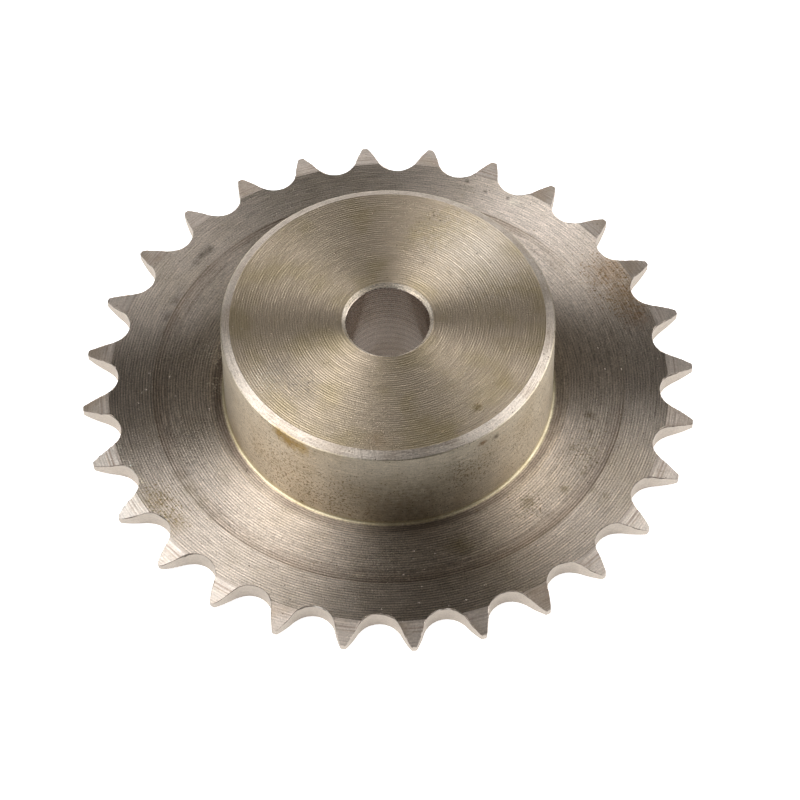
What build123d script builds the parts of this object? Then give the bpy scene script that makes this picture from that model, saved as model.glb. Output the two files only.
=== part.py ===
from build123d import *

import os
from math import acos, atan2, cos, hypot, pi, radians, sin, sqrt

# Chain sprocket with a one-sided hub, turned and hobbed from one piece of steel.
# Frame: origin on the bore's axis at the disc's back face, +Z along the bore towards the hub.
# One tooth points along +X. All sizes are in millimetres.

# The chain that runs on it
CHAIN_PITCH = 8.0
ROLLER_DIAMETER = 5.0

# Teeth
TOOTH_COUNT = 28
TIP_DIAMETER = 74.5
SEAT_CLEARANCE = 0.25  # the roller seat's radius over the roller's own
SEAT_ANGLE = 133.0  # degrees of the seat that a roller touches
FLANK_RADIUS = 14.0  # rounded flank from the seat up to the tip

# Disc
DISC_THICKNESS = 2.4  # of the outer ring, which carries the teeth
RELIEF_DIAMETER = 68.1  # where the bevel beside the teeth begins, on both faces
TIP_THICKNESS = 0.85  # what the two bevels leave of the disc at the tip
RECESS_DIAMETER = 57.7  # inside this the hub's side of the disc is faced a little deeper
RECESS_DEPTH = 0.25
RECESS_SLOPE_WIDTH = 1.65  # across the slope that leads from the outer ring down to that depth
DIP_DIAMETER = 44.0  # inside this the recess dips towards the hub's foot
DIP_START_DEPTH = 0.3
FOOT_DEPTH = 0.53

# Hub
HUB_DIAMETER = 40.0
OVERALL_LENGTH = 15.6  # from the disc's back face to the hub's face
HUB_CHAMFER_WIDTH = 1.1  # across the hub's face
HUB_CHAMFER_DEPTH = 0.6  # down the hub's side
FOOT_RADIUS = 0.35  # fillet where the hub meets the disc

# Pilot bore
BORE_DIAMETER = 10.0
BORE_CHAMFER = 0.5

# How far the gap's cut goes on past the metal
FLANK_RUN_OUT = 0.6  # the rounded flank, beyond the tip
MOUTH_RUN_OUT = 3.0  # the straight mouth, beyond the tip
FACE_RUN_OUT = 1.0  # above and below the disc

PITCH_RADIUS = CHAIN_PITCH / (2 * sin(pi / TOOTH_COUNT))
SEAT_RADIUS = ROLLER_DIAMETER / 2 + SEAT_CLEARANCE
TIP_RADIUS = TIP_DIAMETER / 2
TOOTH_STEP = 360 / TOOTH_COUNT


def half_section():
    """The turned shape on one side of the axis, from the bore out to the tooth tip."""
    bore = BORE_DIAMETER / 2
    bore_mouth = bore + BORE_CHAMFER
    hub = HUB_DIAMETER / 2
    foot_floor = DISC_THICKNESS - FOOT_DEPTH
    foot_top = foot_floor + FOOT_RADIUS
    bevel_depth = (DISC_THICKNESS - TIP_THICKNESS) / 2

    below_foot = Polyline(
        (hub + FOOT_RADIUS, foot_floor),
        (DIP_DIAMETER / 2, DISC_THICKNESS - DIP_START_DEPTH),
        (RECESS_DIAMETER / 2 - RECESS_SLOPE_WIDTH, DISC_THICKNESS - RECESS_DEPTH),
        (RECESS_DIAMETER / 2, DISC_THICKNESS),
        (RELIEF_DIAMETER / 2, DISC_THICKNESS),
        (TIP_RADIUS, DISC_THICKNESS - bevel_depth),
        (TIP_RADIUS, bevel_depth),
        (RELIEF_DIAMETER / 2, 0),
        (bore_mouth, 0),
        (bore, BORE_CHAMFER),
        (bore, OVERALL_LENGTH - BORE_CHAMFER),
        (bore_mouth, OVERALL_LENGTH),
        (hub - HUB_CHAMFER_WIDTH, OVERALL_LENGTH),
        (hub, OVERALL_LENGTH - HUB_CHAMFER_DEPTH),
        (hub, foot_top),
    )
    foot_bend = FOOT_RADIUS * (1 - 1 / sqrt(2))
    foot = ThreePointArc(
        (hub, foot_top),
        (hub + foot_bend, foot_floor + foot_bend),
        (hub + FOOT_RADIUS, foot_floor),
    )
    return Plane.XZ * make_face(below_foot + foot)


def turned_blank():
    """The lathe's work: disc, hub, foot fillet, chamfers and bore, before any tooth is cut."""
    return revolve(half_section(), Axis.Z, 360)


def flank_arc(side):
    """Rounded flank of one gap, from its roller seat to a little past the tip circle.

    side is +1 for the flank on the gap's +Y side and -1 for the one on its -Y side.
    """
    seat_end = radians(180 - SEAT_ANGLE / 2)
    start = Vector(PITCH_RADIUS + SEAT_RADIUS * cos(seat_end), SEAT_RADIUS * sin(seat_end))
    to_centre = SEAT_RADIUS + FLANK_RADIUS
    centre = Vector(PITCH_RADIUS + to_centre * cos(seat_end), to_centre * sin(seat_end))

    # A circle about the axis, just outside the tips, crosses the flank's circle at its outer end
    reach = TIP_RADIUS + FLANK_RUN_OUT
    centre_distance = hypot(centre.X, centre.Y)
    along = (centre_distance**2 + reach**2 - FLANK_RADIUS**2) / (2 * centre_distance)
    turn = atan2(centre.Y, centre.X) - acos(along / reach)
    end = Vector(reach * cos(turn), reach * sin(turn))

    halfway = centre + ((start + end) * 0.5 - centre).normalized() * FLANK_RADIUS
    points = [Vector(p.X, side * p.Y) for p in (start, halfway, end)]
    return ThreePointArc(*points)


def gap_cutter():
    """One tooth gap, the space that a roller of the chain drops into, centred on the +X axis."""
    mouth_x = TIP_RADIUS + MOUTH_RUN_OUT
    left = flank_arc(1)
    right = flank_arc(-1)
    seat = ThreePointArc(left @ 0, (PITCH_RADIUS - SEAT_RADIUS, 0), right @ 0)
    mouth = Polyline(left @ 1, (mouth_x, (left @ 1).Y), (mouth_x, (right @ 1).Y), right @ 1)
    outline = make_face(seat + left + mouth + right)
    return extrude(Plane.XY.offset(-FACE_RUN_OUT) * outline, DISC_THICKNESS + 2 * FACE_RUN_OUT)


def sprocket():
    """The finished piece: the turned blank with every gap hobbed through its rim."""
    cutter = gap_cutter()
    gaps = [Rot(Z=(k + 0.5) * TOOTH_STEP) * cutter for k in range(TOOTH_COUNT)]
    return turned_blank() - gaps


def main():
    piece = sprocket()
    piece.label = "sprocket"
    os.makedirs("parts", exist_ok=True)
    export_step(piece, "parts/sprocket.step")


main()
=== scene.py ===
import random
from math import acos, atan2, cos, hypot, pi, radians, sin, sqrt, tau

import bmesh
import bpy
from mathutils import Matrix, Vector, noise


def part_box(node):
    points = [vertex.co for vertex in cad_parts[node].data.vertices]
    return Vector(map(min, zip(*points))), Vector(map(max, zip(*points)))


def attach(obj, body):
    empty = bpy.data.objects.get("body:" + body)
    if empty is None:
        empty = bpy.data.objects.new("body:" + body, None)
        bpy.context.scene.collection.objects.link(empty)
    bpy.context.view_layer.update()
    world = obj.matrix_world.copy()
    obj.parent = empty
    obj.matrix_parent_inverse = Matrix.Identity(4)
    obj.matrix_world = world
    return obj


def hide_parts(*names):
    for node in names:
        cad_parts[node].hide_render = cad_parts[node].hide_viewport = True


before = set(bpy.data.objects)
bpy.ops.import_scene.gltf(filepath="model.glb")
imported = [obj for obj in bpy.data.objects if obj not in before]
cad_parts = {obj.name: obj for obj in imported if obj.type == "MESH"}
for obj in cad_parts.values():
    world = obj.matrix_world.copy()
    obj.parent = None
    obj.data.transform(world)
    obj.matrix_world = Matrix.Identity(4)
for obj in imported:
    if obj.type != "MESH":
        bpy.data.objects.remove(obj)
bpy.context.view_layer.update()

# ---------------------------------------------------------------------------------------------
# Hub face
# The sprocket is one piece of mild steel. The lathe faces the hub's end first: the tool's round
# nose leaves a scallop at every turn, and those fine rings spread each light into a fan.
# ---------------------------------------------------------------------------------------------
MM = 0.001  # sizes are in mm here, and in metres in Blender
blank_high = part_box("sprocket")[1]
HUB_TOP = blank_high.z / MM

BORE_RADIUS = 5.0
BORE_CHAMFER = 0.5
HUB_RADIUS = 20.0
HUB_CHAMFER_WIDTH = 1.1  # across the hub's face
HUB_CHAMFER_DEPTH = 0.6  # down the hub's side
START_FEED = 0.4  # how far the tool moves out in each of its first two turns
START_MARK_DEPTH = 0.02
HUB_FEED_START = 6.3  # the radius at which the finer feed takes over
HUB_FEED = 0.30  # which makes 42 marks
HUB_MARK_DEPTH = 0.025
FEED_VARIES = 0.03  # share by which the crests lie off their even places
DEPTH_VARIES = 0.08  # share by which one mark is deeper than another
ROUND_VARIES = 0.2  # share by which one mark's depth differs round the turn
TEETH = 28
FIRST_GAP = -pi / TEETH  # a tooth points along +X, so the gap before it is half a step back
INNER_AROUND = 100  # vertices in a ring of the hub's face, near the bore
OUTER_AROUND = 140  # and further out
OUTER_START = 10.0  # from this radius

random.seed(28)
points = []  # every vertex of the piece, in metres
skins = []  # (vertex numbers, finish number) of every face
finishes = []  # the materials, in the order of their finish numbers


def vertex(radius, angle, height):
    """Adds one vertex by its place on the lathe, in mm and radians, and gives its number."""
    points.append((radius * cos(angle) * MM, radius * sin(angle) * MM, height * MM))
    return len(points) - 1


def unevenness(angle, mark):
    """How one tool mark differs round the turn, from about -0.8 to 0.8.

    It swings a few times in a turn. The number of the mark picks its own run of swings.
    """
    swings, apart = 2.5, 1.37
    return noise.noise(Vector((swings * cos(angle), swings * sin(angle), apart * mark)))


def ring(radius, height, count, mark=0, drop=0.0, wobble=0.0):
    """A full turn of vertices, as (angle, vertex) pairs that end where they start.

    drop is how far a tool mark goes down, less than nothing where it goes up into the back face.
    wobble moves the radius in and out. Where both are 0, the number of the mark has no effect.
    """
    row = []
    for step in range(count):
        angle = FIRST_GAP + tau * step / count
        uneven = unevenness(angle, mark)
        sunk = height - drop * (1 + ROUND_VARIES * uneven)
        row.append((angle, vertex(radius + wobble * uneven, angle, sunk)))
    return row + [(FIRST_GAP + tau, row[0][1])]


def stitch(one, other, finish):
    """Fills the strip between two rows of vertices that run the same way.

    The rows may have different counts: each step goes to whichever vertex comes next, and two
    that lie side by side close a four-sided face.
    """
    i = j = 0
    while i < len(one) - 1 or j < len(other) - 1:
        next_one = one[i + 1][0] if i < len(one) - 1 else float("inf")
        next_other = other[j + 1][0] if j < len(other) - 1 else float("inf")
        if abs(next_one - next_other) < 1e-6:
            face = (one[i][1], one[i + 1][1], other[j + 1][1], other[j][1])
            i, j = i + 1, j + 1
        elif next_one < next_other:
            face = (one[i][1], one[i + 1][1], other[j][1])
            i += 1
        else:
            face = (one[i][1], other[j + 1][1], other[j][1])
            j += 1
        skins.append((face, finish))


def stitch_all(rows, finish):
    """Fills the strips between all neighbouring rows."""
    for one, other in zip(rows, rows[1:]):
        stitch(one, other, finish)


def tool_marks(start, end, feed, depth, samples=4):
    """One cut of the tool's round nose, as (radius, drop, mark) rows from start to end.

    Each mark is a scallop with a crest on either side, and drop is how far below the crests.
    samples is how many rows a mark takes.
    """
    count = max(1, round((end - start) / feed))
    crests = [start + (end - start) * k / count for k in range(count + 1)]
    shift = FEED_VARIES * (end - start) / count
    crests[1:-1] = [crest + random.uniform(-shift, shift) for crest in crests[1:-1]]
    rows = []
    for mark in range(count):
        deep = depth * random.uniform(1 - DEPTH_VARIES, 1 + DEPTH_VARIES)
        for sample in range(samples):
            across = sample / samples
            radius = crests[mark] + across * (crests[mark + 1] - crests[mark])
            rows.append((radius, deep * (1 - (2 * across - 1) ** 2), mark))
    return rows + [(end, 0.0, count)]


def linear(hex_colour):
    """An sRGB hex value as the linear RGBA that a socket takes, by the sRGB curve."""
    parts = [int(hex_colour[k : k + 2], 16) / 255 for k in (1, 3, 5)]
    parts = [c / 12.92 if c <= 0.04045 else ((c + 0.055) / 1.055) ** 2.4 for c in parts]
    return (*parts, 1.0)


def add(tree, kind, sockets=None, **settings):
    """Adds one node and gives its outputs. A socket gets a value, or the output that feeds it.

    A mix of colours has its share in socket 0, the colours in 6 and 7, and the result in 2.
    """
    node = tree.nodes.new("ShaderNode" + kind)
    for name, value in settings.items():
        setattr(node, name, value)
    for name, value in (sockets or {}).items():
        if isinstance(value, bpy.types.NodeSocket):
            tree.links.new(value, node.inputs[name])
        else:
            node.inputs[name].default_value = value
    return node.outputs


def new_material(name):
    """An empty material, and the tree that its nodes go into."""
    material = bpy.data.materials.new(name)
    material.use_nodes = True
    material.node_tree.nodes.clear()
    finishes.append(material)
    return material.node_tree


def lathe_space(tree):
    """Where the surface lies on the lathe: its place in mm, the way out from the axis, radius."""
    place = add(tree, "TexCoord")["Object"]
    place = add(tree, "VectorMath", {0: place, "Scale": 1 / MM}, operation="SCALE")[0]
    flat = add(tree, "VectorMath", {0: place, 1: (1, 1, 0)}, operation="MULTIPLY")[0]
    radius = add(tree, "VectorMath", {0: flat}, operation="LENGTH")["Value"]
    outward = add(tree, "VectorMath", {0: flat}, operation="NORMALIZE")[0]
    return place, outward, radius


def patches(tree, place, size, low, high):
    """Soft patches of that size in mm, from 0 where the noise is under low to 1 over high."""
    cloud = add(tree, "TexNoise", {"Vector": place, "Scale": 1 / size, "Detail": 3.0})["Fac"]
    return add(tree, "MapRange", {0: cloud, 1: low, 2: high}, interpolation_type="SMOOTHSTEP")[0]


def streaks(tree, place, travel, length, width):
    """Fine lines along the lathe's rings, of that length and width in mm."""
    along = (1 / length, 1 / length, 0.0)
    along = add(tree, "VectorMath", {0: place, 1: along}, operation="MULTIPLY")[0]
    across = add(tree, "Math", {0: travel, 1: 1 / width}, operation="MULTIPLY")[0]
    across = add(tree, "CombineXYZ", {"Z": across})[0]
    drawn = add(tree, "VectorMath", {0: along, 1: across}, operation="ADD")[0]
    return add(tree, "TexNoise", {"Vector": drawn, "Scale": 1.0, "Detail": 2.0})["Fac"]


def spots(tree, place, spacing, size, share):
    """Round spots of that radius in mm, scattered at that spacing, on that share of the places."""
    edge, heart = size / spacing, 0.3 * size / spacing
    cells = add(tree, "TexVoronoi", {"Vector": place, "Scale": 1 / spacing})
    spot = add(tree, "MapRange", {0: cells["Distance"], 1: edge, 2: heart})[0]
    chosen = add(tree, "SeparateColor", {0: cells["Color"]})[0]
    chosen = add(tree, "Math", {0: chosen, 1: share}, operation="LESS_THAN")[0]
    return add(tree, "Math", {0: spot, 1: chosen}, operation="MULTIPLY")[0]


def crest_lines(tree, travel, start, feed):
    """1 on the crest between two tool marks and 0 in the middle of each."""
    turns = add(tree, "Math", {0: travel, 1: start}, operation="SUBTRACT")[0]
    turns = add(tree, "Math", {0: turns, 1: 1 / feed}, operation="MULTIPLY")[0]
    away = add(tree, "Math", {0: turns, 1: 0.5}, operation="PINGPONG")[0]
    return add(tree, "Math", {0: away, 1: -2.0, 2: 1.0}, operation="MULTIPLY_ADD")[0]


def weighted(tree, base, *terms):
    """base plus each (signal, weight), where a signal of 0.5 leaves it as it is."""
    total = base - sum(weight for signal, weight in terms) / 2
    for signal, weight in terms:
        total = add(tree, "Math", {0: signal, 1: weight, 2: total}, operation="MULTIPLY_ADD")[0]
    return total


def stained(tree, place, colour, stains):
    """Adds each stain, a (centre in mm, reach in mm, hex value, strength), over the colour.

    Noise with 1.6 swings to the mm, and finer ones on top, is added to the distance from its
    centre, so that its outline is ragged. The three numbers are shares of its reach: how much
    the noise adds, and the distances at which the stain begins to fade and is gone.
    """
    ragged, full, gone = 2.6, 1.4, 2.6
    grain = {"Vector": place, "Scale": 1.6, "Detail": 6.0, "Roughness": 0.7}
    grain = add(tree, "TexNoise", grain)["Fac"]
    for centre, reach, shade, strength in stains:
        away = add(tree, "VectorMath", {0: place, 1: centre}, operation="DISTANCE")["Value"]
        away = {0: grain, 1: ragged * reach, 2: away}
        away = add(tree, "Math", away, operation="MULTIPLY_ADD")[0]
        fade = {0: away, 1: full * reach, 2: gone * reach, 3: strength, 4: 0.0}
        fade = add(tree, "MapRange", fade)[0]
        colour = add(tree, "Mix", {0: fade, 6: colour, 7: linear(shade)}, data_type="RGBA")[2]
    return colour


def speckled(tree, place, colour, clusters):
    """Strews ragged specks, as (centre in mm, reach in mm, hex value), thickest at the centre.

    The specks are the peaks of a noise with 3.6 swings to the mm. It is turned down from crowded
    to sparse on the way out, so that fewer of its peaks pass the limit.
    """
    crowded, sparse = 0.87, 0.66
    limit, whole, strength = 0.46, 0.51, 0.7
    grit = {"Vector": place, "Scale": 3.6, "Detail": 2.0, "Roughness": 0.6}
    grit = add(tree, "TexNoise", grit)["Fac"]
    for centre, reach, shade in clusters:
        away = add(tree, "VectorMath", {0: place, 1: centre}, operation="DISTANCE")["Value"]
        thinning = {0: away, 1: 0.5 * reach, 2: 3 * reach, 3: crowded, 4: sparse}
        thinning = add(tree, "MapRange", thinning)[0]
        strewn = add(tree, "Math", {0: grit, 1: thinning}, operation="MULTIPLY")[0]
        speck = add(tree, "MapRange", {0: strewn, 1: limit, 2: whole, 4: strength})[0]
        colour = add(tree, "Mix", {0: speck, 6: colour, 7: linear(shade)}, data_type="RGBA")[2]
    return colour


SPECK = 0.2  # mm, the size of the metal's grain as it is drawn
NO_RINGS = (0.0, 1.0, 0.0)  # the crests get no painted shade, so none show in the colour


def turned_steel(
    name,
    steel,
    tint,
    roughness,
    spread,
    grain,
    relief,
    rings=NO_RINGS,
    stains=(),
    clusters=(),
    lean=(0, 0, 0),
    bands=(),
    shade_gaps=(),
    pitting=0.07,
):
    """Mild steel cut by a single-point tool, which shows as fine rings and fans of light.

    Soft patches of 5 mm turn the steel's colour to the tint. spread is the anisotropy: how much
    wider light spreads across the rings than along them. grain is how much the streaks and
    specks change the colour, and relief how high they stand in mm. rings gives the first crest
    and the feed in mm, and how dark the crests are painted: painted shade that stands in for the
    rings' own shading, strongest at the front. lean is added to the way out from the axis to give
    the way that the tool went. stains and clusters are those of stained and speckled, and pitting
    is the share of its places that have a pit. bands are darker rings, each (its inner edge, the
    radii it is full between, its outer edge, hex value), broken up in patches of 9 mm, and the
    argument after them gives each (centre in mm, reach in mm) where little of them is left. On
    the disc the bands are painted shade. Streaks, specks, pits and flecks are drawn several
    times coarser than the real ones, because those are finer than the render can show.
    """
    crest_shade_most, crest_shade_least = -6.0, 10.0  # mm along the way that the painted crest shade thins out
    crest_shade_fades = (0.26, 0.97, 0)  # towards the back
    crest_shade_at_back = 0.3  # share of the painted crest shade that is left at the back
    shade_left_in_gaps = 0.2  # share of a band that is left in its gaps

    tree = new_material(name)
    place, outward, radius = lathe_space(tree)
    across = add(tree, "VectorMath", {0: outward, 1: lean}, operation="ADD")[0]
    travel = add(tree, "VectorMath", {0: place, 1: lean}, operation="DOT_PRODUCT")["Value"]
    travel = add(tree, "Math", {0: travel, 1: radius}, operation="ADD")[0]
    start, feed, darkness = rings
    # Painted shade on the crests, which stands in for the rings' own shading, strongest at the
    # front
    crest = crest_lines(tree, travel, start, feed)
    back = add(tree, "VectorMath", {0: place, 1: crest_shade_fades}, operation="DOT_PRODUCT")["Value"]
    crest_shade = {0: back, 1: crest_shade_most, 2: crest_shade_least, 3: darkness, 4: crest_shade_at_back * darkness}
    crest_shade = add(tree, "MapRange", crest_shade)[0]
    lines = streaks(tree, place, travel, length=2.2, width=0.12)
    specks = add(tree, "TexNoise", {"Vector": place, "Scale": 1 / SPECK, "Detail": 2.0})["Fac"]
    pits = spots(tree, place, spacing=0.5, size=0.11, share=pitting)
    flecks = spots(tree, place, spacing=0.6, size=0.08, share=0.2)

    film = patches(tree, place, size=5.0, low=0.42, high=0.7)
    colour = {0: film, 6: linear(steel), 7: linear(tint)}
    colour = add(tree, "Mix", colour, data_type="RGBA")[2]
    colour = stained(tree, place, colour, stains)
    kept = patches(tree, place, size=9.0, low=0.28, high=0.6)
    for centre, reach in shade_gaps:
        away = add(tree, "VectorMath", {0: place, 1: centre}, operation="DISTANCE")["Value"]
        left = {0: away, 1: 0.5 * reach, 2: reach, 3: shade_left_in_gaps, 4: 1.0}
        left = add(tree, "MapRange", left)[0]
        kept = add(tree, "Math", {0: kept, 1: left}, operation="MULTIPLY")[0]
    # Darker rings, painted shade where the disc steps and at the hub's foot
    for inner, full_from, full_to, outer, shade in bands:
        inside = add(tree, "MapRange", {0: radius, 1: inner, 2: full_from})[0]
        within = add(tree, "MapRange", {0: radius, 1: full_to, 2: outer, 3: 1.0, 4: 0.0})[0]
        dark_ring = add(tree, "Math", {0: inside, 1: within}, operation="MULTIPLY")[0]
        dark_ring = add(tree, "Math", {0: dark_ring, 1: kept}, operation="MULTIPLY")[0]
        colour = add(tree, "Mix", {0: dark_ring, 6: colour, 7: linear(shade)}, data_type="RGBA")[2]
    # Dirt in the pits, and bright raised metal in the flecks
    for spot, shade in ((pits, "#4d4335"), (flecks, "#e8e0d4")):
        colour = add(tree, "Mix", {0: spot, 6: colour, 7: linear(shade)}, data_type="RGBA")[2]
    colour = speckled(tree, place, colour, clusters)
    fine = weighted(tree, 1.0, (lines, grain), (specks, grain))
    colour = add(tree, "VectorMath", {0: colour, "Scale": fine}, operation="SCALE")[0]
    # The painted shade on the crests darkens the colour
    off_middle = add(tree, "Math", {0: crest, 1: 0.5}, operation="SUBTRACT")[0]
    darker = add(tree, "Math", {0: off_middle, 1: crest_shade}, operation="MULTIPLY")[0]
    crest_factor = add(tree, "Math", {0: 1.0, 1: darker}, operation="SUBTRACT")[0]
    colour = add(tree, "VectorMath", {0: colour, "Scale": crest_factor}, operation="SCALE")[0]

    height = weighted(tree, 0.5, (lines, 1.0), (specks, 0.6), (pits, -0.8), (flecks, 0.08))
    bump = add(tree, "Bump", {"Height": height, "Distance": relief * MM})[0]
    shader = add(
        tree,
        "BsdfPrincipled",
        {
            "Base Color": colour,
            "Metallic": 1.0,
            "Roughness": weighted(tree, roughness, (specks, 0.12)),
            "Anisotropic": spread,
            "Tangent": across,
            "Normal": bump,
        },
    )[0]
    add(tree, "OutputMaterial", {"Surface": shader})
    return len(finishes) - 1


# Bright rings with a little painted shade on their crests, and a warm cast of old oil
faced_hub = turned_steel(
    "Faced_steel_hub_end",
    steel="#c0b09b",
    tint="#b6a68a",
    roughness=0.435,
    spread=0.77,
    grain=0.55,
    relief=0.05,
    rings=(HUB_FEED_START, HUB_FEED, 0.25),
    stains=[
        # Dried oil, and one paler patch of painted light at the back right
        ((9.5, -13.6, HUB_TOP), 0.6, "#7b683a", 0.55),
        ((12.0, 9.5, HUB_TOP), 6.5, "#d2c8bc", 0.6),
        ((16.2, 8.9, HUB_TOP), 2.0, "#a8976a", 0.25),
        ((5.5, -15.9, HUB_TOP), 2.4, "#a39061", 0.3),
        ((-2.5, -17.3, HUB_TOP), 1.4, "#a88a62", 0.3),
        ((13.1, -9.8, HUB_TOP), 1.5, "#9c8a58", 0.35),
        # Grey scuffs
        ((-13.2, -6.4, HUB_TOP), 2.6, "#958a80", 0.35),
        ((-10.6, -9.2, HUB_TOP), 2.4, "#958a80", 0.35),
    ],
    clusters=[
        # Grit in the scuffs, and two dark spots
        ((-13.4, -6.4, HUB_TOP), 1.6, "#8d837a"),
        ((-10.8, -9.0, HUB_TOP), 1.6, "#8d837a"),
        ((-15.6, -7.4, HUB_TOP), 1.3, "#d8cfbd"),
        ((9.5, -13.6, HUB_TOP), 0.4, "#7b6843"),
        ((6.8, 15.3, HUB_TOP), 0.4, "#6d5f4a"),
    ],
)

bore_mouth = BORE_RADIUS + BORE_CHAMFER
hub_edge = HUB_RADIUS - HUB_CHAMFER_WIDTH
hub_rows = tool_marks(bore_mouth, HUB_FEED_START, START_FEED, START_MARK_DEPTH)[:-1]
hub_rows += tool_marks(HUB_FEED_START, hub_edge, HUB_FEED, HUB_MARK_DEPTH)
hub_face = []
for radius, drop, mark in hub_rows:
    count = INNER_AROUND if radius < OUTER_START else OUTER_AROUND
    hub_face.append(ring(radius, HUB_TOP, count, mark, drop))
stitch_all(hub_face, faced_hub)

# ---------------------------------------------------------------------------------------------
# Hub chamfer
# The corner of the hub is broken with a chamfer tool that was fed in by hand. It scrapes more
# than it cuts, so the band is bright, even and a little mottled, with a slightly uneven edge.
# ---------------------------------------------------------------------------------------------
CHAMFER_WAVE = 0.006  # how far the chamfer's face goes up and down
CHAMFER_MARK = 40  # the number of its one mark
AROUND = 168  # vertices round the hub's side and the disc

chamfer_steel = turned_steel(
    "Chamfered_steel_hub_corner",
    steel="#b9afa4",
    tint="#a79b8e",
    roughness=0.4,
    spread=0.1,
    grain=1.1,
    relief=0.035,
    lean=(0, 0, -1),
    # Painted shade at the back, dull and brown
    stains=[((0.0, 19.4, HUB_TOP), 22.0, "#837464", 0.6)],
)

corner_rows = [hub_face[-1]]
for out in (0.12, 0.5, 0.88):  # shares of the chamfer's width, so that both corners stay soft
    radius = hub_edge + out * HUB_CHAMFER_WIDTH
    height = HUB_TOP - out * HUB_CHAMFER_DEPTH
    corner_rows.append(ring(radius, height, AROUND, CHAMFER_MARK, CHAMFER_WAVE))
stitch_all(corner_rows, chamfer_steel)

# ---------------------------------------------------------------------------------------------
# Hub side
# The hub's outside is turned with a fine feed and has been handled and oiled since: it is dull,
# with olive and brown oil stains and small dark pits.
# ---------------------------------------------------------------------------------------------
FOOT_FLOOR = 1.87  # height at which the fillet runs out onto the disc
FOOT_RADIUS = 0.35
SIDE_FEED = 0.2
SIDE_WAVE = 0.004  # how far the side goes in and out
SIDE_MARK = 60  # the number of its one mark
SIDE_BANDS = 12  # of faces down the side
FOOT_BANDS = 6  # of faces round the fillet
EDGE_DROPS = (0.03, 0.05)  # how far below the chamfer the side's first two rings lie

side_top = HUB_TOP - HUB_CHAMFER_DEPTH
foot_top = FOOT_FLOOR + FOOT_RADIUS

hub_side_steel = turned_steel(
    "Turned_steel_hub_side",
    steel="#c3b9a7",
    tint="#bbaf9a",
    roughness=0.385,
    spread=0.79,
    grain=0.9,
    relief=0.025,
    rings=(0.0, SIDE_FEED, 0.1),
    lean=(0, 0, -1),
    pitting=0.5,
    stains=[
        # A run of brown oil under the chamfer, then two spots of it
        ((-14.0, -14.3, 14.4), 1.0, "#94783a", 0.85),
        ((-13.0, -15.2, 14.0), 1.5, "#94783a", 0.9),
        ((-11.6, -16.3, 13.8), 1.4, "#9a8148", 0.8),
        ((9.7, -17.5, 13.8), 0.6, "#7b5b38", 0.8),
        ((11.5, -16.4, 13.4), 0.4, "#3f3021", 0.9),
        # Painted shade across the front, low on the side
        ((0.5, -20.0, 5.0), 4.0, "#7d705c", 0.7),
        ((-3.0, -19.8, 7.0), 4.5, "#8f8169", 0.4),
        ((4.0, -19.6, 8.5), 4.5, "#8f8169", 0.4),
    ],
    # Corrosion pits
    clusters=[
        ((-15.0, -13.2, 7.0), 4.0, "#7b6d54"),
        ((-9.0, -17.9, 5.0), 3.5, "#7b6d54"),
        ((8.0, -18.3, 9.0), 2.5, "#7b6d54"),
        ((16.0, -12.0, 8.0), 3.0, "#7b6d54"),
    ],
)

# The finishing tool's corner leaves a smooth bright line at the foot, yellow with old oil
foot_steel = turned_steel(
    "Oiled_steel_hub_foot",
    steel="#c6bb9f",
    tint="#b8aa8a",
    roughness=0.4,
    spread=0.7,
    grain=0.8,
    relief=0.02,
    lean=(0, 0, -1),
    stains=[((2.0, -20.0, foot_top), 5.0, "#9c9178", 0.6)],
)

edge_height, straight_top = [side_top - drop for drop in EDGE_DROPS]
side_heights = [edge_height]
for step in range(SIDE_BANDS + 1):
    side_heights.append(straight_top - (straight_top - foot_top) * step / SIDE_BANDS)
side_rows = [corner_rows[-1]]
for height in side_heights:
    side_rows.append(ring(HUB_RADIUS - SIDE_WAVE, height, AROUND, SIDE_MARK, wobble=SIDE_WAVE))
stitch_all(side_rows, hub_side_steel)
foot_rows = [side_rows[-1]]
for step in range(1, FOOT_BANDS + 1):
    turn = radians(90 * step / FOOT_BANDS)
    radius = HUB_RADIUS + FOOT_RADIUS * (1 - cos(turn))
    foot_rows.append(ring(radius, foot_top - FOOT_RADIUS * sin(turn), AROUND))
stitch_all(foot_rows, foot_steel)

# ---------------------------------------------------------------------------------------------
# Disc face
# Faced in two passes: the one nearer the hub is a little deeper, so the face steps down inside
# the rim and dips at the hub's foot. The steel is greyer than the hub, with rust near the rim.
# ---------------------------------------------------------------------------------------------
DISC_FEED = 0.335
DISC_MARK_DEPTH = 0.012
DISC_MARKS = 100  # marks are numbered from here, so that they don't swing as the hub's do
FOOT_BAND_RADIUS = 21.6  # the tool's corner runs smooth up to here
FOOT_BAND_MIDDLE = 21.0  # the radius of the one ring between it and the foot
RECESS_TURNS = 21  # of the tool, up to the outer ring
DISC_TURNS = 37  # of the tool, up to the bevel
RIM_TOP = 2.4
RECESS_TOP = 2.32
DIP_TOP = 2.2
DIP_RADIUS = 22.0
SLOPE_INNER_RADIUS = 27.2  # a slope leads from the recess up to the outer ring
SLOPE_OUTER_RADIUS = 28.85
RELIEF_RADIUS = 34.05  # the bevel beside the teeth begins here
CHAIN_PITCH = 8.0
SEAT_RADIUS = 2.75  # of the seat that a roller lies in
RIM_OVERLAP = 0.04  # rings end at least this far before the bottoms of the gaps
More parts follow.
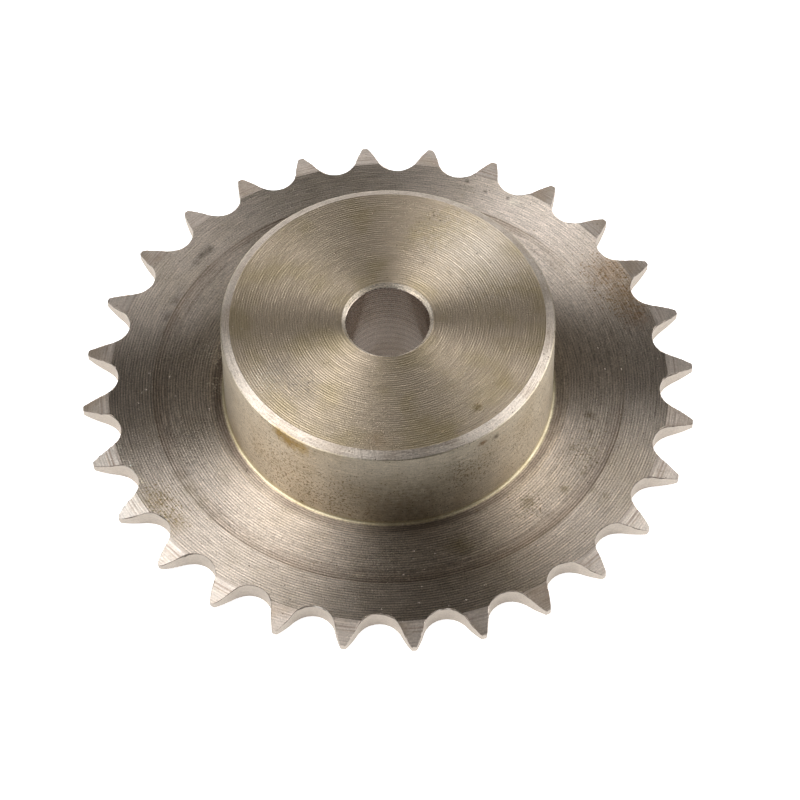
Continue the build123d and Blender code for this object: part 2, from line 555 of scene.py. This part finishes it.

# Grey rings that spread the light far out, in narrow fans. Painted shade marks the step
faced_disc = turned_steel(
    "Faced_steel_disc",
    steel="#c6baae",
    tint="#bcb0a2",
    roughness=0.4,
    spread=0.945,
    grain=1.2,
    relief=0.03,
    rings=(FOOT_BAND_RADIUS, DISC_FEED, 0.6),
    bands=[
        # Painted shade at the hub's foot, on the slope and in the lines that the tool left on it
        (20.3, 20.6, 21.2, 21.7, "#9e9288"),
        (26.6, 28.1, 28.6, 29.0, "#b3a598"),
        (27.0, 27.1, 27.2, 27.3, "#a99c90"),
        (27.9, 27.95, 28.05, 28.1, "#ab9e91"),
        (28.15, 28.2, 28.35, 28.45, "#a6988b"),
        (28.5, 28.56, 28.7, 28.76, "#978a7d"),
    ],
    # Little of the painted shade is left on the step at the right
    shade_gaps=[((28.1, 2.0, RIM_TOP), 12.0)],
    stains=[
        # Rust at the right, near the rim
        ((28.6, 14.6, RIM_TOP), 3.0, "#94795a", 0.6),
        ((30.3, 10.6, RIM_TOP), 2.8, "#94795a", 0.6),
        ((31.3, 7.6, RIM_TOP), 2.0, "#94755a", 0.55),
        # Dried oil and rust at the front, and more of both at the front left
        ((6.5, -24.0, RECESS_TOP), 1.6, "#84774a", 0.5),
        ((-28.8, -15.0, RIM_TOP), 1.8, "#8b7650", 0.45),
        ((-26.8, -18.0, RIM_TOP), 1.6, "#8b7650", 0.4),
        # Painted shade along the step, at the front left
        ((-26.1, -11.1, RECESS_TOP), 1.0, "#877a62", 0.5),
        ((-25.0, -13.3, RECESS_TOP), 1.2, "#877a62", 0.55),
        ((-23.7, -15.4, RECESS_TOP), 1.2, "#877a62", 0.55),
        ((-22.3, -17.4, RECESS_TOP), 1.0, "#877a62", 0.45),
        # Dark smears at the back left
        ((-20.5, 22.5, RIM_TOP), 0.6, "#6a625a", 0.6),
        ((-21.1, 21.9, RIM_TOP), 0.6, "#6a625a", 0.6),
        ((-21.7, 21.3, RIM_TOP), 0.6, "#6a625a", 0.6),
        ((-22.3, 20.6, RIM_TOP), 0.6, "#6a625a", 0.5),
        ((-25.0, 14.8, RIM_TOP), 0.9, "#6b625a", 0.5),
        ((-26.2, 12.4, RIM_TOP), 1.0, "#6b625a", 0.5),
        # Spots of dried oil at the front right
        ((23.9, -6.7, RECESS_TOP), 0.7, "#6b6049", 0.7),
        ((23.7, -9.1, RECESS_TOP), 0.5, "#6b6049", 0.6),
        ((21.3, -11.2, RECESS_TOP), 0.4, "#6b6049", 0.6),
        ((22.3, -15.1, RECESS_TOP), 0.5, "#75694c", 0.6),
        ((19.7, -17.1, RECESS_TOP), 0.6, "#75694c", 0.6),
        ((22.7, -17.3, RECESS_TOP), 0.8, "#75694c", 0.6),
        ((24.5, -18.5, RIM_TOP), 0.5, "#6b6049", 0.6),
        ((15.2, -18.6, RECESS_TOP), 1.0, "#75694c", 0.6),
        # A paler patch of painted light at the back right, and a browner one at the front right
        ((19.5, 24.0, RIM_TOP), 8.0, "#e0d4ca", 0.6),
        ((26.0, -15.0, RIM_TOP), 7.0, "#aea08b", 0.45),
        # A bright nick and three dark dots at the back
        ((17.9, 26.5, RIM_TOP), 0.8, "#e6dfd0", 0.5),
        ((17.2, 27.2, RIM_TOP), 0.3, "#544a40", 0.8),
        ((14.5, 28.5, RIM_TOP), 0.3, "#4a4038", 0.8),
        ((12.4, 30.3, RIM_TOP), 0.3, "#4a4038", 0.8),
    ],
    clusters=[
        # Bright specks at the hub's foot, in front and at the right, and painted glints on the left
        # teeth
        ((-20.9, 6.4, DIP_TOP), 1.4, "#ece2d3"),
        ((-21.6, 1.6, DIP_TOP), 1.1, "#ece2d3"),
        ((-1.8, -24.9, RECESS_TOP), 2.0, "#d9cfc0"),
        ((30.2, 1.4, RIM_TOP), 1.6, "#d9cfc0"),
        ((-33.2, -6.6, RIM_TOP), 0.5, "#fff6e6"),
        ((-31.9, -9.2, RIM_TOP), 0.5, "#fff6e6"),
        ((-30.8, -11.8, RIM_TOP), 0.4, "#f3e6cd"),
        # Brown specks in the rust and in the oil
        ((-28.6, -14.4, RIM_TOP), 1.3, "#84734c"),
        ((-27.0, -17.0, RIM_TOP), 1.2, "#84734c"),
        ((28.6, 14.6, RIM_TOP), 2.2, "#8a6f4f"),
        ((30.4, 10.4, RIM_TOP), 2.0, "#8a6f4f"),
        ((23.0, -12.0, RECESS_TOP), 2.2, "#8d806a"),
        ((15.2, -19.0, RECESS_TOP), 1.3, "#7d7058"),
    ],
)


def disc_top(radius):
    """Height of the disc's face at that radius, between the tool marks."""
    if radius < DIP_RADIUS:
        share = (DIP_RADIUS - radius) / (DIP_RADIUS - HUB_RADIUS - FOOT_RADIUS)
        return DIP_TOP - share * (DIP_TOP - FOOT_FLOOR)
    if radius < SLOPE_INNER_RADIUS:
        share = (radius - DIP_RADIUS) / (SLOPE_INNER_RADIUS - DIP_RADIUS)
        return DIP_TOP + share * (RECESS_TOP - DIP_TOP)
    if radius < SLOPE_OUTER_RADIUS:
        share = (radius - SLOPE_INNER_RADIUS) / (SLOPE_OUTER_RADIUS - SLOPE_INNER_RADIUS)
        return RECESS_TOP + share * (RIM_TOP - RECESS_TOP)
    return RIM_TOP


pitch_radius = CHAIN_PITCH / (2 * sin(pi / TEETH))
root_radius = pitch_radius - SEAT_RADIUS
recess_end = FOOT_BAND_RADIUS + RECESS_TURNS * DISC_FEED
outer_start = FOOT_BAND_RADIUS + (RECESS_TURNS + 1) * DISC_FEED
outer_end = FOOT_BAND_RADIUS + DISC_TURNS * DISC_FEED
disc_rows = [(FOOT_BAND_MIDDLE, 0.0, 0)]
disc_rows += tool_marks(FOOT_BAND_RADIUS, recess_end, DISC_FEED, DISC_MARK_DEPTH)
disc_rows.append((SLOPE_OUTER_RADIUS, 0.0, 0))
disc_rows += tool_marks(outer_start, outer_end, DISC_FEED, DISC_MARK_DEPTH)[:-1]
disc_rows.append((RELIEF_RADIUS, 0.0, 0))

disc_face = [foot_rows[-1]]
for radius, drop, mark in disc_rows:
    if radius < root_radius - RIM_OVERLAP:
        disc_face.append(ring(radius, disc_top(radius), AROUND, DISC_MARKS + mark, drop))
stitch_all(disc_face, faced_disc)

# ---------------------------------------------------------------------------------------------
# Teeth
# A bevel on each face thins the rim, and a hob then cuts the 28 gaps through it. It leaves a
# bright wall in each gap, and a torn, slightly raised burr where it breaks through the faces.
# ---------------------------------------------------------------------------------------------
TIP_RADIUS = blank_high.x / MM
TIP_THICKNESS = 0.85
TIP_ROUNDING = 0.14  # of a tooth's two corners at the tip
SEAT_HALF_ANGLE = radians(66.5)
FLANK_RADIUS = 14.0
BEVEL_FEED = 0.33
BEVEL_MARK_DEPTH = 0.009
BEVEL_MARKS = 200  # marks are numbered from here
ROOT_MARK = 99  # the one that the gaps' bottoms cut through
ROOT_MARK_DEPTH = 0.01
BURR_HEIGHT = 0.1
BURR_LEAN = 0.5  # share of its height by which a burr leans out over the gap
BURR_SHADE_SHARE = 0.09  # of the rim's thickness under the edge, painted with the burr's shade
WALL_LEVELS = (BURR_SHADE_SHARE, 0.35, 0.65, 0.94)  # shares of that thickness, from the top down
TOP_COLUMNS = (-1.0, -0.95, -0.8, -0.4, 0.4, 0.8, 0.95, 1.0)  # shares of a tooth's half width
BACK_COLUMNS = (-1.0, -0.5, 0.5, 1.0)
TIP_ROWS = (0.5, 0.2, 0.06, 0.0)  # shares of the tip's rounding, closer where it turns in more
SEAT_RINGS = (33.3, 33.65)  # radii of two rows on the back, beside the roller seats
BACK_BEVEL_ROWS = 7
FLANK_ROWS = 6

# A duller face than the disc's, with a few darker rings and a painted pale sheen to the front
bevelled_steel = turned_steel(
    "Bevelled_steel_rim",
    steel="#bcb1a7",
    tint="#a79888",
    roughness=0.44,
    spread=0.4,
    grain=0.75,
    relief=0.025,
    rings=(RELIEF_RADIUS, BEVEL_FEED, 0.15),
    bands=[
        # The first ring is painted shade along the edge where the bevel begins
        (33.9, 34.05, 34.2, 34.45, "#a0958b"),
        (34.8, 34.9, 35.05, 35.15, "#a3958a"),
        (35.3, 35.36, 35.5, 35.6, "#ada094"),
    ],
    # Painted sheen at the front left and the front right
    stains=[
        ((-33.5, -13.0, RIM_TOP), 9.0, "#d8d4ce", 0.55),
        ((-26.0, -25.0, RIM_TOP), 6.0, "#d8d4ce", 0.3),
        ((28.0, -22.5, RIM_TOP), 9.0, "#d8cfc5", 0.6),
    ],
)

# The hob cuts across the wall in fine steps, and leaves it pale, matt and even. The steps are
# 1 mm long and a sixth of that high, which is coarser than the real ones
SCORE_DEPTH = 0.03
tree = new_material("Hobbed_steel_tooth_gap")
place = lathe_space(tree)[0]
scored = add(tree, "VectorMath", {0: place, 1: (1.0, 1.0, 6.0)}, operation="MULTIPLY")[0]
scores = add(tree, "TexNoise", {"Vector": scored, "Scale": 1.0, "Detail": 4.0})["Fac"]
specks = add(tree, "TexNoise", {"Vector": place, "Scale": 1 / SPECK, "Detail": 2.0})["Fac"]
fine = weighted(tree, 1.0, (scores, 0.3), (specks, 0.4))
colour = {0: linear("#d4cabf")[:3], "Scale": fine}
colour = add(tree, "VectorMath", colour, operation="SCALE")[0]
bump = add(tree, "Bump", {"Height": scores, "Distance": SCORE_DEPTH * MM})[0]
shader = add(
    tree,
    "BsdfPrincipled",
    {"Base Color": colour, "Metallic": 1.0, "Roughness": 0.56, "Normal": bump},
)[0]
add(tree, "OutputMaterial", {"Surface": shader})
hobbed_steel = len(finishes) - 1

# Right under the face a dark strip is painted shade, the shadow under the burr, in patches
# about 0.4 mm long, and on a few teeth painted glints stand for light off the bare metal
SHADE_PATCH = 0.4
tree = new_material("Painted_burr_shade_gap_edge")
place = lathe_space(tree)[0]
patchiness = add(tree, "TexNoise", {"Vector": place, "Scale": 1 / SHADE_PATCH, "Detail": 3.0})["Fac"]
patchiness = add(tree, "MapRange", {0: patchiness, 1: 0.35, 2: 0.65})[0]
colour = {0: patchiness, 6: linear("#5e554c"), 7: linear("#a0968c")}
colour = add(tree, "Mix", colour, data_type="RGBA")[2]
glints = [  # x, y and reach in mm
    (-10.5, -30.9, 0.8),
    (-9.2, -31.5, 0.7),
    (3.2, -32.4, 0.6),
    (4.4, -32.3, 0.6),
    (-33.2, -6.4, 0.7),
    (-31.8, -9.6, 0.9),
    (-30.8, -10.8, 0.8),
]
glints = [((x, y, RIM_TOP), reach, "#f6f0e8", 0.9) for x, y, reach in glints]
# Painted glints on a few teeth
colour = stained(tree, place, colour, glints)
shader = add(
    tree,
    "BsdfPrincipled",
    {"Base Color": colour, "Metallic": 1.0, "Roughness": 0.6},
)[0]
add(tree, "OutputMaterial", {"Surface": shader})
burr_shade_strip = len(finishes) - 1

tooth_step = tau / TEETH
to_flank_centre = SEAT_RADIUS + FLANK_RADIUS
flank_centre_x = pitch_radius - to_flank_centre * cos(SEAT_HALF_ANGLE)
flank_centre_y = to_flank_centre * sin(SEAT_HALF_ANGLE)
flank_centre_radius = hypot(flank_centre_x, flank_centre_y)
flank_centre_angle = atan2(flank_centre_y, flank_centre_x)


def seat_wall_radius(turn):
    """Distance from the axis of the roller seat's wall, turn radians round the seat."""
    return sqrt(pitch_radius**2 + SEAT_RADIUS**2 - 2 * pitch_radius * SEAT_RADIUS * cos(turn))


seat_end_radius = seat_wall_radius(SEAT_HALF_ANGLE)


def half_gap(radius):
    """Angle from a gap's middle to its wall, at that radius."""
    if radius <= seat_end_radius:
        cosine = (pitch_radius**2 + SEAT_RADIUS**2 - radius**2) / (2 * pitch_radius * SEAT_RADIUS)
        turn = acos(min(1.0, cosine))
        return atan2(SEAT_RADIUS * sin(turn), pitch_radius - SEAT_RADIUS * cos(turn))
    along = flank_centre_radius**2 + radius**2 - FLANK_RADIUS**2
    past_corner = max(0.0, radius - TIP_RADIUS + TIP_ROUNDING)
    rounding = TIP_ROUNDING - sqrt(max(0.0, TIP_ROUNDING**2 - past_corner**2))
    return flank_centre_angle - acos(along / (2 * flank_centre_radius * radius)) + rounding / radius


def rim_depth(radius):
    """How far the bevel has gone into the disc from its face, at that radius."""
    steepness = (RIM_TOP - TIP_THICKNESS) / 2 / (TIP_RADIUS - RELIEF_RADIUS)
    return max(0.0, radius - RELIEF_RADIUS) * steepness


def burr(tooth, side, radius):
    """How far the hob has raised a tooth's edge: torn and uneven, and worse on some teeth.

    One noise changes slowly from tooth to tooth, and the other in 0.4 mm along the edge.
    """
    worse = 0.7 + 0.9 * noise.noise(Vector((0.37 * tooth, side, 5.0)))
    patchiness = 0.15 + noise.noise(Vector((2.6 * radius, 3.1 * tooth + 1.3 * side, 0.5)))
    return BURR_HEIGHT * max(0.0, worse) * max(0.0, patchiness)


def burr_shade_share(gap, side, radius):
    """Share of the rim's thickness with painted burr shade under a gap's edge; it changes in 0.6
    mm.
    """
    patchiness = noise.noise(Vector((1.7 * radius, 7.3 * side, 3.1 * gap)))
    return BURR_SHADE_SHARE * max(0.3, 1 + 1.8 * patchiness)


def rim_face(rows, columns, height, into):
    """The rim's face over every tooth, as rows of (column, vertex) from the root to the tip.

    into is -1 where the metal lies below that face, and 1 where it lies above. Neighbouring
    teeth share the vertex at the bottom of the gap between them.
    """
    roots = [vertex(root_radius, FIRST_GAP + k * tooth_step, height) for k in range(TEETH)]
    teeth = []
    for tooth in range(TEETH):
        tooth_rows = []
        for number, (radius, drop, mark) in enumerate(rows):
            half_width = pi / TEETH - half_gap(radius)
            row = []
            for column in columns:
                if number == 0 and abs(column) == 1:
                    row.append((column, roots[(tooth + (column > 0)) % TEETH]))
                    continue
                angle = tooth * tooth_step + column * half_width
                depth = rim_depth(radius) + drop * (1 + ROUND_VARIES * unevenness(angle, mark))
                if abs(column) == 1 and into < 0:
                    lip = burr(tooth, column, radius)
                    depth -= lip
                    angle += column * BURR_LEAN * lip / radius
                row.append((column, vertex(radius, angle, height + into * depth)))
            tooth_rows.append(row)
        teeth.append(tooth_rows)
    return teeth


def root_row(teeth, columns):
    """The full turn of vertices where the teeth grow out of the disc."""
    row = []
    for tooth, rows in enumerate(teeth):
        row += [(tooth * tooth_step + c * pi / TEETH, v) for c, v in rows[0][:-1]]
    return row + [(FIRST_GAP + tau, row[0][1])]


rim_start = seat_wall_radius(radians(6))  # the first row that a gap has opened
bevel_end = TIP_RADIUS - TIP_ROUNDING
tip_radii = [TIP_RADIUS - TIP_ROUNDING * share for share in TIP_ROWS]
rim_rows = [(root_radius, 0.0, ROOT_MARK), (rim_start, ROOT_MARK_DEPTH, ROOT_MARK)]
for radius, drop, mark in disc_rows:
    if radius > rim_start:
        rim_rows.append((radius, drop, DISC_MARKS + mark))
for radius, drop, mark in tool_marks(RELIEF_RADIUS, bevel_end, BEVEL_FEED, BEVEL_MARK_DEPTH)[1:]:
    rim_rows.append((radius, drop, BEVEL_MARKS + mark))
rim_rows += [(radius, 0.0, 0) for radius in tip_radii]
top_teeth = rim_face(rim_rows, TOP_COLUMNS, RIM_TOP, -1)
stitch(disc_face[-1], root_row(top_teeth, TOP_COLUMNS), faced_disc)
for rows in top_teeth:
    for (radius, drop, mark), one, other in zip(rim_rows, rows, rows[1:]):
        stitch(one, other, faced_disc if radius < RELIEF_RADIUS else bevelled_steel)

back_radii = [root_radius, seat_wall_radius(radians(12)), *SEAT_RINGS, RELIEF_RADIUS]
for row in range(1, BACK_BEVEL_ROWS + 1):
    back_radii.append(RELIEF_RADIUS + (bevel_end - RELIEF_RADIUS) * row / BACK_BEVEL_ROWS)
back_rows = [(radius, 0.0, 0) for radius in back_radii + tip_radii]
back_teeth = rim_face(back_rows, BACK_COLUMNS, 0.0, 1)
for rows in back_teeth:
    stitch_all(rows, bevelled_steel)

# A gap's wall has a column every 10 degrees round the seat, then up the flank and at the tip
wall_radii = [seat_wall_radius(radians(turn)) for turn in range(0, 61, 10)]
for row in range(FLANK_ROWS + 1):
    wall_radii.append(seat_end_radius + (bevel_end - seat_end_radius) * row / FLANK_ROWS)
wall_radii += tip_radii


def along_gap(radius, side):
    """Where a point lies along a gap's wall: 0 at the root, below that on side -1, and above."""
    return side * sqrt(max(0.0, radius - root_radius))


def gap_edge(before, after, rows):
    """The edge of a gap on one face, from the tip of the tooth before it to the tip after it.

    Both teeth have the vertex at the root, which is taken once.
    """
    down = [(along_gap(row[0], -1), before[n][-1][1]) for n, row in enumerate(rows)]
    up = [(along_gap(row[0], 1), after[n][0][1]) for n, row in enumerate(rows)]
    return down[:0:-1] + up


gap_walls = []
for gap in range(TEETH):
    middle = FIRST_GAP + gap * tooth_step
    wall = [gap_edge(top_teeth[gap - 1], top_teeth[gap], rim_rows)]
    for share in WALL_LEVELS:
        level = []
        for side, radii in ((-1, wall_radii[:0:-1]), (1, wall_radii)):
            for radius in radii:
                depth = rim_depth(radius)
                angle = middle + side * half_gap(radius)
                down = burr_shade_share(gap, side, radius) if share == BURR_SHADE_SHARE else share
                height = RIM_TOP - depth - down * (RIM_TOP - 2 * depth)
                level.append((along_gap(radius, side), vertex(radius, angle, height)))
        wall.append(level)
    wall.append(gap_edge(back_teeth[gap - 1], back_teeth[gap], back_rows))
    # The wall's top strip is painted shade under the burr
    stitch(wall[0], wall[1], burr_shade_strip)
    stitch_all(wall[1:], hobbed_steel)
    gap_walls.append(wall)

# The land at each tooth's tip, all that is left there of the blank's outside
for tooth in range(TEETH):
    land = [top_teeth[tooth][-1]]
    for level in range(1, len(WALL_LEVELS) + 1):
        before = gap_walls[tooth][level][-1][1]
        after = gap_walls[(tooth + 1) % TEETH][level][0][1]
        land.append([(-1.0, before), (1.0, after)])
    land.append(back_teeth[tooth][-1])
    stitch_all(land, hobbed_steel)

# ---------------------------------------------------------------------------------------------
# Back face
# The plain side of the disc, faced flat in one pass with a coarse feed. Its tool marks go up
# into the metal from the plane that it rests on.
# ---------------------------------------------------------------------------------------------
BACK_FEED = 0.62
BACK_MARK_DEPTH = 0.03
BACK_MARKS = 400  # marks are numbered from here
BACK_AROUND = 98  # vertices in a ring
BACK_END = 0.3  # how far before the gaps' bottoms the last ring lies
MARK_ROWS = 3  # to each mark, here and in the bore, where less of them is seen

# Wide rings with dark crests of painted shade
faced_back = turned_steel(
    "Faced_steel_back",
    steel="#c1b2a7",
    tint="#b0a190",
    roughness=0.36,
    spread=0.8,
    grain=1.0,
    relief=0.02,
    rings=(bore_mouth, BACK_FEED, 0.4),
)
back_face = []
back_marks = tool_marks(
    bore_mouth, root_radius - BACK_END, BACK_FEED, BACK_MARK_DEPTH, MARK_ROWS
)
for radius, drop, mark in back_marks:
    back_face.append(ring(radius, 0.0, BACK_AROUND, BACK_MARKS + mark, -drop))
stitch_all(back_face, faced_back)
stitch(back_face[-1], root_row(back_teeth, BACK_COLUMNS), faced_back)

# ---------------------------------------------------------------------------------------------
# Pilot bore
# Drilled and then bored out, with a small chamfer at each mouth. The boring bar leaves rings
# that run round the wall.
# ---------------------------------------------------------------------------------------------
BORE_FEED = 0.42
BORE_MARK_DEPTH = 0.02
BORE_AROUND = 84  # vertices in a ring
DARK_RING_TURNS = 2.6  # turns of the boring bar from one dark ring to the next
MOUTH_CHATTER = 0.3  # from one ring of the countersink's chatter to the next
MOUTH_MARK = 500  # the number of the chamfer's one mark
MOUTH_WAVE = 0.01  # how far the chamfer's face goes up and down

# The countersink scrapes the chamfer bright and rough
mouth_steel = turned_steel(
    "Countersunk_steel_bore_mouth",
    steel="#d2c8ba",
    tint="#c2b5a2",
    roughness=0.5,
    spread=0.5,
    grain=1.6,
    relief=0.05,
    rings=(0.0, MOUTH_CHATTER, 0.4),
    lean=(0, 0, 1),
    # Painted shade on the side that faces the front
    stains=[((0.0, -5.4, HUB_TOP), 1.6, "#77695a", 0.8)],
)

# The wall is smooth, and its lit part has soft edges that run down it. Every few turns the
# bar has left a darker ring
bored_steel = turned_steel(
    "Bored_steel_wall",
    steel="#b4a79c",
    tint="#a6988b",
    roughness=0.27,
    spread=0.85,
    grain=0.3,
    relief=0.003,
    rings=(0.0, DARK_RING_TURNS * BORE_FEED, 0.35),
    pitting=0.0,
    lean=(0, 0, -1),
)

mouth_rows = [hub_face[0]]
for out in (0.85, 0.5, 0.15):  # shares of the chamfer's width
    radius = BORE_RADIUS + out * BORE_CHAMFER
    height = HUB_TOP - (1 - out) * BORE_CHAMFER
    mouth_rows.append(ring(radius, height, BORE_AROUND, MOUTH_MARK, MOUTH_WAVE))
stitch_all(mouth_rows, mouth_steel)
bore_marks = tool_marks(
    BORE_CHAMFER, HUB_TOP - BORE_CHAMFER, BORE_FEED, BORE_MARK_DEPTH, MARK_ROWS
)
bore_rows = [mouth_rows[-1]]
for depth, drop, mark in bore_marks:
    bore_rows.append(ring(BORE_RADIUS + drop, HUB_TOP - depth, BORE_AROUND))
bore_rows.append(back_face[0])
stitch_all(bore_rows, bored_steel)

# ---------------------------------------------------------------------------------------------
# The whole piece
# Every face above belongs to one closed skin, which stands for the turned and hobbed solid. It
# is bare steel all over, and nothing is fixed to it.
# ---------------------------------------------------------------------------------------------
SHARP_ANGLE = radians(14)  # crests of the tool marks and all worked corners are sharper

mesh = bpy.data.meshes.new("chain_sprocket")
mesh.from_pydata(points, [], [face for face, finish in skins])
mesh.polygons.foreach_set("material_index", [finish for face, finish in skins])
for material in finishes:
    mesh.materials.append(material)
shape = bmesh.new()
shape.from_mesh(mesh)
bmesh.ops.recalc_face_normals(shape, faces=shape.faces)
shape.to_mesh(mesh)
shape.free()
mesh.shade_smooth()
mesh.set_sharp_from_angle(angle=SHARP_ANGLE)

sprocket = bpy.data.objects.new("chain_sprocket", mesh)
bpy.context.scene.collection.objects.link(sprocket)
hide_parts("sprocket")
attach(sprocket, "root")

# ---------------------------------------------------------------------------------------------
# Studio
# A plain pale floor, a soft box high on the left, a wide one lower on the right, a low one at
# the back, and a dim warm room.
# ---------------------------------------------------------------------------------------------
FLOOR_RADIUS = 3.0  # metres
FLOOR_CORNERS = 64
FLOOR_GAP = 0.00002  # metres below the sprocket
FLOOR_GLOW = 0.35  # lit from under, as on a light table
FLOOR_SHINE = 0.5  # what the eye gets on top, so that no shadow shows

floor_mesh = bpy.data.meshes.new("floor")
corners = []
for k in range(FLOOR_CORNERS):
    turn = tau * k / FLOOR_CORNERS
    corners.append((FLOOR_RADIUS * cos(turn), FLOOR_RADIUS * sin(turn), -FLOOR_GAP))
floor_mesh.from_pydata(corners, [], [tuple(range(FLOOR_CORNERS))])
floor = bpy.data.objects.new("floor", floor_mesh)
bpy.context.scene.collection.objects.link(floor)
paper = bpy.data.materials.new("White_paper_floor")
paper.use_nodes = True
tree = paper.node_tree
tree.nodes.clear()
seen = add(tree, "LightPath")["Is Camera Ray"]
glow = add(tree, "Math", {0: seen, 1: FLOOR_SHINE, 2: FLOOR_GLOW}, operation="MULTIPLY_ADD")[0]
shader = add(
    tree,
    "BsdfPrincipled",
    {
        "Base Color": linear("#ededed"),
        "Roughness": 0.9,
        "Specular IOR Level": 0.0,
        "Emission Color": linear("#ffffff"),
        "Emission Strength": glow,
    },
)[0]
add(tree, "OutputMaterial", {"Surface": shader})
floor_mesh.materials.append(paper)

LAMP_DISTANCE = 1.0  # metres


def soft_box(name, azimuth, elevation, width, height, power):
    """A lamp that faces the sprocket, in degrees, metres and watts."""
    lamp = bpy.data.lights.new(name, "AREA")
    lamp.shape = "RECTANGLE"
    lamp.size = height
    lamp.size_y = width
    lamp.energy = power
    light = bpy.data.objects.new(name, lamp)
    turn = Matrix.Rotation(radians(azimuth), 4, "Z")
    tilt = Matrix.Rotation(radians(90 - elevation), 4, "Y")
    light.matrix_world = turn @ tilt @ Matrix.Translation((0, 0, LAMP_DISTANCE))
    light.visible_camera = False
    bpy.context.scene.collection.objects.link(light)


soft_box("left_soft_box", azimuth=182.5, elevation=55, width=0.81, height=0.74, power=8.8)
soft_box("right_soft_box", azimuth=1.5, elevation=31, width=0.76, height=1.2, power=8.4)
soft_box("back_soft_box", azimuth=90, elevation=15, width=1.38, height=0.28, power=3.35)

ROOM_LIGHT = 0.075
ROOM_COLOUR = (1.0, 0.93, 0.86, 1.0)  # a little warm, in linear values as light has them
world = bpy.data.worlds.new("room")
world.use_nodes = True
room = world.node_tree.nodes["Background"]
room.inputs["Color"].default_value = ROOM_COLOUR
room.inputs["Strength"].default_value = ROOM_LIGHT
bpy.context.scene.world = world
bpy.context.scene.view_settings.view_transform = "Standard"

# ---------------------------------------------------------------------------------------------
# Camera
# A long lens, half a metre away, looks down at the hub from the front and slightly from the
# left. It is rolled by about half a degree.
# ---------------------------------------------------------------------------------------------
CAMERA_AZIMUTH = -4.21  # degrees
CAMERA_ELEVATION = 54.94
CAMERA_ROLL = -0.60
CAMERA_DISTANCE = 0.4969  # metres
CAMERA_LENS = 182.9  # mm
AIM = Vector((0.00133, -0.00057, -0.00043))  # metres, where the camera looks

lens = bpy.data.cameras.new("camera")
lens.lens = CAMERA_LENS
lens.clip_start = 0.01
camera = bpy.data.objects.new("camera", lens)
turn = Matrix.Rotation(radians(CAMERA_AZIMUTH), 4, "Z")
tilt = Matrix.Rotation(radians(90 - CAMERA_ELEVATION), 4, "X")
roll = Matrix.Rotation(radians(CAMERA_ROLL), 4, "Z")
back_off = Matrix.Translation((0, 0, CAMERA_DISTANCE))
camera.matrix_world = Matrix.Translation(AIM) @ turn @ tilt @ roll @ back_off
bpy.context.scene.collection.objects.link(camera)
bpy.context.scene.camera = camera
